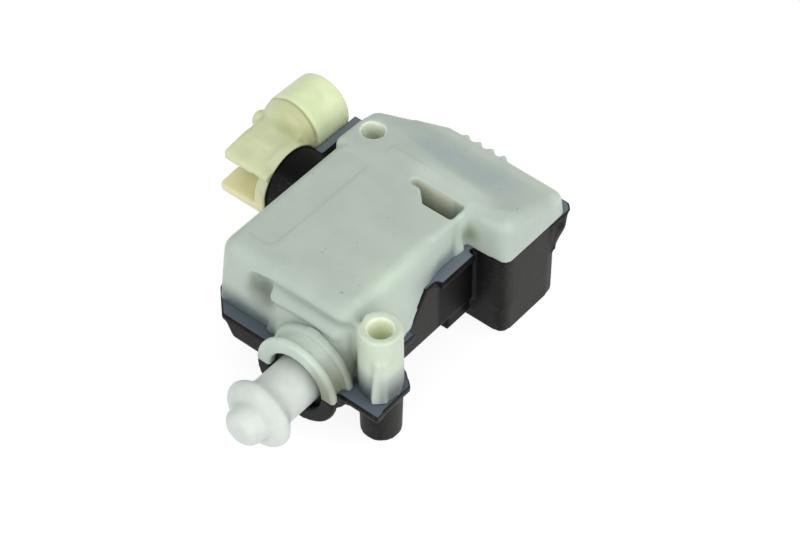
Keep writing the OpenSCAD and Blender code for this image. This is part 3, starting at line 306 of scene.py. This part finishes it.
post_gusset = [(14.6, 6.4, 0.1), (15.9, 5.0, 0.1), (18.1, 7.0, 0.1), (18.4, 10.6, 0.1), (14, 10.6, 0.1),
               (15.4, 6.2, 11.8), (16.6, 5.9, 11.4), (17.9, 7.4, 12.0), (18.2, 10.6, 12.6), (14, 10.6, 12.6)]
wall_by_tab = [(4.4, 33.5, 6.9), (6.3, 34.4, 6.9), (7.9, 44.6, 6.9), (5.0, 45.2, 6.9),
               (4.4, 33.5, 12.4), (5.6, 34.8, 12.4), (7.0, 44.4, 12.4), (5.0, 45.2, 12.4)]
pocket_ease = ((-16, 8.6, 10), 7.0, 34)
bay_corner_ease = ((16.4, 46.8, 14), 6.4, 70)
rear_corner_ease = ((-25.5, 60, 14), 6, 40)
notch_ease = ((8, 46, 13), 3, 25)
saddle_foot_ease = ((-11.6, 6.8, 4.4), 3.4, 60)
front_edge_eases = [((-8, 8.4, 16.0), 4.8, 55), ((-1, 8.4, 16.0), 4.8, 55), ((5.5, 9, 15.8), 4.4, 55)]
crease_line = [(-13, 7.7, 13.2), (-9, 7.7, 13.6), (-3, 7.7, 13.6), (3, 7.8, 13.3), (7, 9, 12.8)]
saddle_lobe_line = [(-12.3, 7.6, 10.2), (-8, 7.6, 10.9), (-2, 7.6, 11.0), (4, 7.6, 10.5)]
cover = softened(
    "cover", "housing", voxel_mm=0.375, rounds=3, ribs=[post_gusset, wall_by_tab],
    eases=[pocket_ease, bay_corner_ease, rear_corner_ease, notch_ease, saddle_foot_ease, *front_edge_eases],
    presses=[(crease_line, 2.3, 0.6), (saddle_lobe_line, 2.3, -0.8)])

milky = Finish("milky", (0.50, 0.58, 0.51), 0.36, Subsurface_Weight=0.55, Subsurface_Scale=0.0022,
               Subsurface_Radius=(1, 1, 0.9), IOR=1.47)
x, y, z, facing_up = milky.x, milky.y, milky.z, milky.up
upright = (1, 1, 0)
post_centre = (13.7, 10.6, 0)
rear_hole_centre = (-23.2, 52.4, 0)
bore_radius, bore_edge = 2.9, 0.25
clouds = milky.noise(9, 2)
specks = milky.step(milky.noise(1.3, 1), 0.735, 0.75) * milky.step(facing_up, 0.8, 0.95)
single_speck = milky.spot((1.9, 12.8, 17), 0.28, 0.2)
# the wall under the front edge: painted shade in its crease and in the dented pocket beside the saddle, with a
# painted shadow streak in the pocket, the thin rims, and painted shade in the corner by the post
front_wall = milky.step(y, 11.5, 9.8)
crease_shade = front_wall * milky.between(z, 12.8, 14.4, 0.9) * milky.between(x, -13, 7, 2)
pocket_shade = milky.spot((-15.8, 9.6, 8.0), 2.9, 2.6)
pocket_shadow_streak = milky.spot((-18.3, 9.0, 10.4), 0.4, 0.8, (1, 1, 0.3))
left_rim = front_wall * milky.step(x, -8.5, -11.5) * milky.step(z, 7, 0.7)
corner_shade_by_post = milky.step(y, 11.5, 9.5) * milky.between(x, 4.5, 10.2, 1.5) * milky.step(z, 11.5, 0.5)
# the side wall, where the housing's dark flange lies close behind it, with painted light on its middle and at its
# end in the corner between it and the bay, and painted shade in the notch
side_wall = milky.step(milky.right, 0.4, 0.8)
wall_over_flange = side_wall * milky.step(y, 25, 37) * milky.step(y, 43.2, 41) * milky.step(z, 12.6, 8.2)
lit_wall_end = (milky.step(milky.right, 0.2, 0.7) * milky.between(y, 43.6, 45.6, 0.8)
            * milky.between(x, 5.5, 8.5, 0.5))
lit_wall_middle = side_wall * milky.between(y, 17, 29, 5)
notch_shade = milky.spot((7.6, 46.3, 11.0), 2.0, 1.8)
# the top: the motor shows under the bay, and the double wall round the slot is paler; painted light on the rear
# slope, on the slot's walls and as a painted highlight at the front right of the top, and painted shade on the
# slot's floor
over_motor = milky.step(z, 10, 12.5) * milky.between(y, 54.0, 61, 2.4) * milky.between(x, -15, 10, 4)
lit_rear_slope = milky.step(z, 10, 11.5) * milky.step(y, 61.5, 64.5)
slot_rim = milky.step(facing_up, 0.5, 0.9) * milky.between(y, 47.6, 52.6, 1.6) * milky.between(x, -9, 9, 3)
top_front_right_highlight = milky.spot((5.0, 23, 16.6), 2.5, 4, (1, 0.4, 1))
slot = milky.between(x, -8.2, 2.8, 0.3) * milky.between(y, 41.4, 47.3, 0.3)
lit_slot_walls = slot * milky.step(z, 16.9, 15.9)
slot_floor_shade = slot * milky.step(z, 10.8, 10.3)
# collar and post stand free, so more light passes through them; painted light brightens the collar, the post's upper
# part and the bores of the post and the rear hole
collar = milky.step(y, 5.0, 4.4)
post = milky.spot(post_centre, 5.6, 0.5, upright)
fin = milky.spot((16.2, 5.2, 0), 1.2, 0.7, upright)
lit_post_bore = milky.spot(post_centre, bore_radius, bore_edge, upright)
lit_rear_hole = milky.spot(rear_hole_centre, bore_radius, bore_edge, upright)
post_foot = post * milky.step(z, 8.5, 1.2) * (1 - fin)
tone = milky.stained(
    milky.blend(milky.step(clouds, 0.35, 0.65), (0.485, 0.56, 0.495), (0.515, 0.59, 0.52)),
    (crease_shade, (0.76, 0.77, 0.74)),
    (pocket_shade, (0.42, 0.41, 0.37)),
    (pocket_shadow_streak, (0.86, 0.86, 0.72)),
    (left_rim, (0.25, 0.28, 0.33)),
    (corner_shade_by_post, (0.40, 0.37, 0.31)),
    (wall_over_flange, (0.45, 0.47, 0.55)),
    (lit_wall_end, (1.14, 1.13, 1.14)),
    (lit_wall_middle, (1.12, 1.13, 1.11)),
    (notch_shade, (0.62, 0.59, 0.51)),
    (over_motor, (0.89, 0.91, 0.99)),
    (lit_rear_slope, (1.16, 1.14, 1.13)),
    (slot_rim, (1.17, 1.16, 1.17)),
    (top_front_right_highlight, (1.1, 1.12, 1.06)),
    (collar, (1.2, 1.2, 1.2)),
    (post * milky.step(z, 6, 9), (1.24, 1.22, 1.13)),
    (lit_post_bore, (1.45, 1.38, 1.3)),
    (lit_rear_hole, (1.6, 1.5, 1.42)),
    (lit_slot_walls, (1.36, 1.24, 1.16)),
    (slot_floor_shade, (0.06, 0.06, 0.06)),
    (single_speck, (0.62, 0.64, 0.6)),
    (specks, (0.8, 0.8, 0.78)))
milky.feed(Base_Color=milky.blend(post_foot, tone, (0.07, 0.085, 0.095)), Roughness=0.3 + 0.14 * clouds)
milky.bump(milky.noise(0.9, 3), 0.12, 0.05)
milky.paint(cover)

# Lower housing: the shell that carries everything, moulded in black plastic with the flange tabs, the lever's
# hub, the motor bay and the plug socket. Its flat tops mirror the sky as a blue-grey sheen.


def block(x_span, y_span, z_span):
    """The eight corners of a box."""
    return [(x_mm, y_mm, z_mm) for x_mm in x_span for y_mm in y_span for z_mm in z_span]


right_tab = block((6.6, 10.4), (34.4, 45.2), (5.3, 7.1))
left_ledge_lip = block((-34.45, -32.3), (42.5, 59.9), (5.4, 8.4))
flared_corner = [(17.3, 62, 7), (17.4, 68, 7), (15.8, 69.4, 7), (11, 69.3, 7),
                 (17.3, 62, 5.4), (17.4, 68, 5.4), (15.8, 69.4, 5.4), (11, 69.3, 5.4),
                 (16.6, 62, -3), (15.6, 64.8, -3), (13, 66.6, -3)]
bay_edge_ease = ((16.6, 46.6, 0), 7, 40)
flare_ease = ((17.4, 68.0, 1.4), 5.2, 90)
housing = softened("lower_housing", "housing", voxel_mm=0.42, rounds=2,
                   ribs=[right_tab, flared_corner, left_ledge_lip], eases=[bay_edge_ease, flare_ease])

black = Finish("black", (0.006, 0.006, 0.006), 0.46, Specular_IOR_Level=0.14)
grain = black.noise(0.5, 4)
smears = black.noise(7, 3, stretch=(1, 1, 0.35))
# painted shade: the shaded corner beside the right tab is painted darker, and gets little of the dust and painted
# light of the sides that face right
nook_shade = black.between(black.y, 35, 46.5, 0.8) * black.step(black.x, 11.5, 10.5)
# dust, with painted light on the sides that face right
dust_and_lit_side = black.step(black.right + 0.4 * grain + 0.3 * smears, 0.88, 1.5) * (1 - 0.9 * nook_shade)
scuffs = black.step(black.noise(2.4, 4), 0.62, 0.72)
# the flat tops of the flanges at both heights, without the lever's hub
flat = black.step(black.up + 0.05 * grain, 0.93, 1.02)
foot_flange = black.between(black.z, -1.9, 0.4, 0.2)
upper_flange = black.between(black.z, 5.4, 8.7, 0.2)
rims = flat * black.step(black.x, -35.2, -34.4) * black.step(foot_flange + upper_flange, 0.1, 0.9)
# the black's colour: dust, scuffs and grain, with painted light on the right-facing sides and painted shade in the
# corner by the tab
wear_light_and_shade = black.blend(dust_and_lit_side, (0.008, 0.008, 0.008), (0.030, 0.029, 0.027))
wear_light_and_shade = black.blend(0.35 * scuffs, wear_light_and_shade, (0.03, 0.03, 0.028))
wear_light_and_shade = black.blend(black.step(grain, 0.56, 0.7), wear_light_and_shade, (0.036, 0.036, 0.034))
wear_light_and_shade = black.blend(nook_shade, wear_light_and_shade, (0.001, 0.001, 0.001))
sheen = black.blend(black.step(black.y, 30, 34), (0.115, 0.138, 0.168), (0.17, 0.2, 0.235))
black.feed(Base_Color=black.blend(rims, wear_light_and_shade, sheen), Roughness=0.4 + 0.2 * smears)
black.bump(black.noise(0.35, 3), 0.2, 0.03)
black.paint(housing)

# Plunger: the toothed pin that locks the flap, with its mushroom head and end knob.
# It is moulded in milky white acetal and slides in the collar.
plunger = softened("plunger", "slider", voxel_mm=0.25, rounds=2)
acetal = Finish("acetal", (0.66, 0.71, 0.665), 0.36, Subsurface_Weight=0.5, Subsurface_Scale=0.0022,
                Subsurface_Radius=(1, 1, 0.9))
mist = acetal.noise(5, 3)
# painted shade on the rod where it runs into the collar
rod_shade_in_collar = acetal.step(acetal.y, -3.5, 1)
pits = acetal.step(acetal.noise(0.7, 2), 0.72, 0.76)
acetal.feed(
    Base_Color=acetal.stained(
        acetal.blend(acetal.step(mist, 0.3, 0.7), (0.62, 0.675, 0.63), (0.69, 0.735, 0.695)),
        (rod_shade_in_collar, (0.84, 0.83, 0.8)),
        (pits, (0.9, 0.9, 0.87))),
    Roughness=0.3 + 0.16 * mist)
acetal.bump(acetal.noise(0.8, 3), 0.1, 0.05)
acetal.paint(plunger)

# Wiper ring, buffers, shaft seal and motor pad: soft black rubber, pressed into their seats. The ring wipes the
# plunger's rod, the buffers stop the plunger at both ends, and the pad keeps the motor from rattling.
rubber = Finish("rubber", (0.02, 0.02, 0.02), 0.75)
bloom = rubber.noise(2.5, 4)
rubber.feed(Base_Color=rubber.blend(rubber.step(bloom, 0.4, 0.75), (0.014, 0.014, 0.014), (0.045, 0.044, 0.042)),
            Roughness=0.62 + 0.25 * bloom)
rubber.bump(rubber.noise(0.3, 3), 0.3, 0.03)
rubber.paint(node["plunger_wiper"], node["front_buffer"], node["rear_buffer"], node["shaft_seal"], node["motor_pad"])

# Release lever: an ivory moulding that turns on the hub, with a hollow barrel, two finger blades and a peg.
# The barrel's mouth stands a step above the neck that carries it.
neck_eases = [((-38.6, 36, 11), 2.2, 40), ((-38.6, 39, 11.8), 2.4, 40), ((-38.4, 33.5, 9.5), 2.2, 40),
              ((-38.2, 41.5, 11.8), 2.2, 40)]
barrel_step_line = [(-46.6, 47.9, 14.8), (-45.5, 48.0, 15.8), (-43.9, 48.1, 16.5), (-42.3, 48.2, 16.7),
                    (-40.5, 48.1, 16.4), (-39.0, 48.0, 15.9), (-37.5, 47.9, 14.9), (-36.1, 47.8, 13.4),
                    (-35.2, 47.7, 11.5), (-34.8, 47.7, 9.0)]
lever = softened("release_lever", "output", voxel_mm=0.26, rounds=2, eases=neck_eases,
                 presses=[(barrel_step_line, 0.6, 0.26)])
ivory = Finish("ivory", (0.66, 0.71, 0.45), 0.34, Subsurface_Weight=0.55, Subsurface_Scale=0.0025,
               Subsurface_Radius=(1, 1, 0.8))
swirl = ivory.noise(7, 2)
# painted light on the barrel, more on its right side and lower right, and on the lower blade; painted shade on the
# neck and in the barrel's step
barrel = ivory.step(ivory.y, 47.6, 48.3) * ivory.step(ivory.z, -4, 0)
lit_barrel_right = barrel * ivory.step(ivory.x, -38.5, -35)
lit_barrel_low_right = barrel * ivory.step(ivory.x, -37, -34) * ivory.step(ivory.z, 12, 7)
neck = ivory.between(ivory.y, 43.2, 48.0, 0.7) * ivory.step(ivory.x, -44.5, -39)
lit_low_blade = ivory.step(ivory.z, 6.5, 3) * ivory.step(ivory.y, 40, 38)
barrel_step_shade = ivory.between(ivory.y, 47.5, 48.05, 0.25) * ivory.step(ivory.z, 9, 12)
ivory.feed(
    Base_Color=ivory.stained(
        ivory.blend(ivory.step(swirl, 0.35, 0.65), (0.62, 0.67, 0.42), (0.70, 0.75, 0.49)),
        (barrel, (1.16, 1.22, 1.2)),
        (lit_barrel_right, (1.08, 1.06, 1.1)),
        (lit_barrel_low_right, (1.3, 1.24, 1.2)),
        (neck * (1 - barrel), (0.93, 0.88, 0.8)),
        (lit_low_blade, (1.26, 1.12, 1.06)),
        (barrel_step_shade, (0.72, 0.7, 0.62))),
    Roughness=0.28 + 0.16 * swirl)
ivory.bump(ivory.noise(0.8, 3), 0.1, 0.05)
ivory.paint(lever)

# Lever screw and washer: they hold the lever to the end of the output shaft. They and the motor's can, which is
# drawn from sheet, are zinc-plated steel with a faintly cloudy plating.
zinc = Finish("zinc", (0.62, 0.62, 0.6), 0.34, Metallic=1)
plating = zinc.noise(1.6, 5)
zinc.feed(Base_Color=zinc.blend(zinc.step(plating, 0.3, 0.7), (0.50, 0.505, 0.49), (0.70, 0.70, 0.68)),
          Roughness=0.22 + 0.28 * plating)
zinc.bump(zinc.noise(0.4, 3), 0.15, 0.02)
zinc.paint(node["lever_screw"], node["lever_washer"], node["motor_can"])

# Shafts, idler axle and thrust washer: ground steel, with the fine rings that grinding leaves round them.
# The axle is pressed into its ribs, and the shafts turn in their bores.
steel = Finish("steel", (0.6, 0.6, 0.6), 0.25, Metallic=1)
ground = steel.noise(0.5, 4, stretch=(4, 0.5, 0.5))
steel.feed(Base_Color=steel.blend(ground, (0.46, 0.46, 0.47), (0.70, 0.70, 0.69)), Roughness=0.14 + 0.26 * ground)
steel.bump(ground, 0.12, 0.01)
steel.paint(node["output_shaft"], node["thrust_washer"], node["idler_axle"], node["rotor_shaft"])

# Gears: white moulded wheels with a smear of grease between their teeth, and a black moulded pinion.
# The shaft's bush is of the white plastic, and the motor's end cap of the black one.
gear_white = Finish("gear_white", (0.76, 0.77, 0.74), 0.35, Subsurface_Weight=0.2, Subsurface_Scale=0.001)
grease = gear_white.step(gear_white.noise(2.2, 3), 0.52, 0.66)
gear_white.feed(Base_Color=gear_white.blend(grease, (0.76, 0.77, 0.74), (0.70, 0.67, 0.50)),
                Roughness=0.42 - 0.26 * grease)
gear_white.bump(gear_white.noise(0.5, 3), 0.12, 0.03)
gear_white.paint(node["output_gear"], node["shaft_bush"], node["idler_gear"])
gear_black = Finish("gear_black", (0.02, 0.02, 0.02), 0.4)
rubbed = gear_black.noise(1.8, 4)
gear_black.feed(
    Base_Color=gear_black.blend(gear_black.step(rubbed, 0.5, 0.75), (0.014, 0.014, 0.014), (0.05, 0.05, 0.048)),
    Roughness=0.3 + 0.25 * rubbed)
gear_black.bump(gear_black.noise(0.4, 3), 0.15, 0.02)
gear_black.paint(node["drive_pinion"], node["motor_end_cap"])

# Motor bushes, motor pinion and terminals: brass, a little tarnished. The bushes and the pinion are pressed in
# place, and the terminals are bent strips that reach from the socket to the motor.
brass = Finish("brass", (0.62, 0.45, 0.2), 0.3, Metallic=1)
tarnish = brass.noise(1.5, 4)
brass.feed(Base_Color=brass.blend(brass.step(tarnish, 0.42, 0.72), (0.68, 0.50, 0.23), (0.40, 0.27, 0.12)),
           Roughness=0.2 + 0.3 * tarnish)
brass.bump(brass.noise(0.3, 3), 0.12, 0.01)
brass.paint(node["motor_front_bush"], node["motor_rear_bush"], node["motor_pinion"], node["terminal_left"],
            node["terminal_right"])

# Commutator, brushes, core and magnets: the commutator and the brushes are worn copper, the core is a stack of
# steel sheets pressed on the rotor's shaft, and the magnets are dark ferrite shells inside the can.
copper = Finish("copper", (0.7, 0.32, 0.16), 0.35, Metallic=1)
worn_copper = copper.noise(0.8, 4)
copper.feed(Base_Color=copper.blend(worn_copper, (0.76, 0.36, 0.18), (0.46, 0.20, 0.10)),
            Roughness=0.2 + 0.3 * worn_copper)
copper.bump(worn_copper, 0.15, 0.01)
copper.paint(node["commutator"], node["motor_brushes"])
core = Finish("core", (0.3, 0.3, 0.3), 0.45, Metallic=1)
sheets = core.add("ShaderNodeTexWave", {"wave_type": "BANDS", "bands_direction": "X"}, Vector=core.place,
                  Scale=1000, Distortion=0.3, output=1)
core.feed(Base_Color=core.blend(sheets, (0.16, 0.16, 0.165), (0.36, 0.36, 0.36)), Roughness=0.5 - 0.15 * sheets)
core.bump(sheets, 0.4, 0.05)
core.paint(node["rotor_core"])
magnet = Finish("magnet", (0.06, 0.06, 0.065), 0.6)
ferrite = magnet.noise(0.6, 5)
magnet.feed(Base_Color=magnet.blend(ferrite, (0.035, 0.035, 0.038), (0.085, 0.085, 0.09)),
            Roughness=0.5 + 0.3 * ferrite)
magnet.bump(ferrite, 0.2, 0.03)
magnet.paint(node["motor_magnets"])

# Rotor windings: three coils of enamelled copper wire, each wound round one pole of the core through the two
# slots beside it. The turns lie one above the other and grow wider away from the shaft.
coil_tree = bpy.data.node_groups.new("coil_turns", "GeometryNodeTree")
for label, kind in (("Turns", "NodeSocketInt"), ("First turn", "NodeSocketFloat"), ("Turn step", "NodeSocketFloat"),
                    ("Coil length", "NodeSocketFloat"), ("Wire radius", "NodeSocketFloat"),
                    ("Shaft line", "NodeSocketVector"), ("Enamel", "NodeSocketMaterial")):
    coil_tree.interface.new_socket(label, in_out="INPUT", socket_type=kind)
coil_tree.interface.new_socket("Coils", in_out="OUTPUT", socket_type="NodeSocketGeometry")
asked = coil_tree.nodes.new("NodeGroupInput").outputs


def coil_step(kind, settings=None, **sockets):
    """One step of the winding tree, linked where it is given another step's output. A socket is given by its
    name, or as _ and its number. Its type is a Geometry Nodes one unless it starts with Shader."""
    made = coil_tree.nodes.new("GeometryNode" + kind if not kind.startswith("Shader") else kind)
    for key, value in (settings or {}).items():
        setattr(made, key, value)
    for key, value in sockets.items():
        socket = made.inputs[int(key[1:])] if key[0] == "_" else made.inputs[key.replace("_", " ")]
        if isinstance(value, bpy.types.NodeSocket):
            coil_tree.links.new(value, socket)
        else:
            socket.default_value = value
    return made.outputs[0]


poles = 3
width_per_height = 2 * 1.732
plain_turn_height = 0.001
turn_points = coil_step(
    "MeshLine", Count=asked["Turns"], Start_Location=coil_step("ShaderNodeCombineXYZ", Z=asked["First turn"]),
    Offset=coil_step("ShaderNodeCombineXYZ", Z=asked["Turn step"]))
turn_place = coil_step("ShaderNodeSeparateXYZ", _0=coil_step("InputPosition")).node.outputs
turn_width = coil_step("ShaderNodeMath", {"operation": "MULTIPLY"}, _0=turn_place["Z"],
                       _1=width_per_height * MM_IN_M)
turns = coil_step("RealizeInstances", Geometry=coil_step(
    "InstanceOnPoints", Points=turn_points,
    Instance=coil_step("CurvePrimitiveQuadrilateral", Width=asked["Coil length"], Height=plain_turn_height),
    Scale=coil_step("ShaderNodeCombineXYZ", X=1.0, Y=turn_width, Z=1.0)))
bent = coil_step("FilletCurve", {"mode": "POLY"}, Curve=turns, Count=3, Radius=0.0006)
wire = coil_step("CurveToMesh", Curve=bent, Profile_Curve=coil_step(
    "CurvePrimitiveCircle", {"mode": "RADIUS"}, Resolution=7, Radius=asked["Wire radius"]))
pole_turn = coil_step("ShaderNodeMath", {"operation": "MULTIPLY_ADD"}, _0=coil_step("InputIndex"),
                      _1=2 * pi / poles, _2=pi / poles)
coils = coil_step(
    "InstanceOnPoints", Points=coil_step("Points", Count=poles, Position=asked["Shaft line"]), Instance=wire,
    Rotation=coil_step("ShaderNodeCombineXYZ", X=pole_turn))
coil_end = coil_tree.nodes.new("NodeGroupOutput")
coil_tree.links.new(coil_step("SetMaterial", Geometry=coil_step("SetShadeSmooth", Geometry=coil_step(
    "RealizeInstances", Geometry=coils)), Material=asked["Enamel"]), coil_end.inputs[0])

enamel = Finish("enamel", (0.5, 0.19, 0.07), 0.25, Coat_Weight=0.6, Coat_Roughness=0.12)
varnish = enamel.noise(0.7, 4)
enamel.feed(Base_Color=enamel.blend(enamel.step(varnish, 0.35, 0.7), (0.52, 0.20, 0.07), (0.32, 0.10, 0.035)),
            Roughness=0.18 + 0.25 * varnish)
enamel.bump(varnish, 0.1, 0.01)
core_low, core_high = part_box("rotor_core")
past_core = 0.0016
asked_for = {"Turns": 9, "First turn": 0.00125, "Turn step": 0.00009, "Wire radius": 0.00011,
             "Coil length": core_high[0] - core_low[0] + past_core, "Enamel": enamel.material,
             "Shaft line": [(low + high) / 2 for low, high in zip(core_low, core_high)]}
windings = bpy.data.objects.new("winding_turns", bpy.data.meshes.new("winding_turns"))
collection.objects.link(windings)
winder = windings.modifiers.new("winder", "NODES")
winder.node_group = coil_tree
for item in coil_tree.interface.items_tree:
    if item.in_out == "INPUT":
        winder[item.identifier] = asked_for[item.name]
wound = bpy.data.meshes.new_from_object(windings.evaluated_get(bpy.context.evaluated_depsgraph_get()))
windings.modifiers.clear()
windings.data = wound
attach(windings, "rotor")
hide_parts("rotor_windings")
enamel.paint(windings)
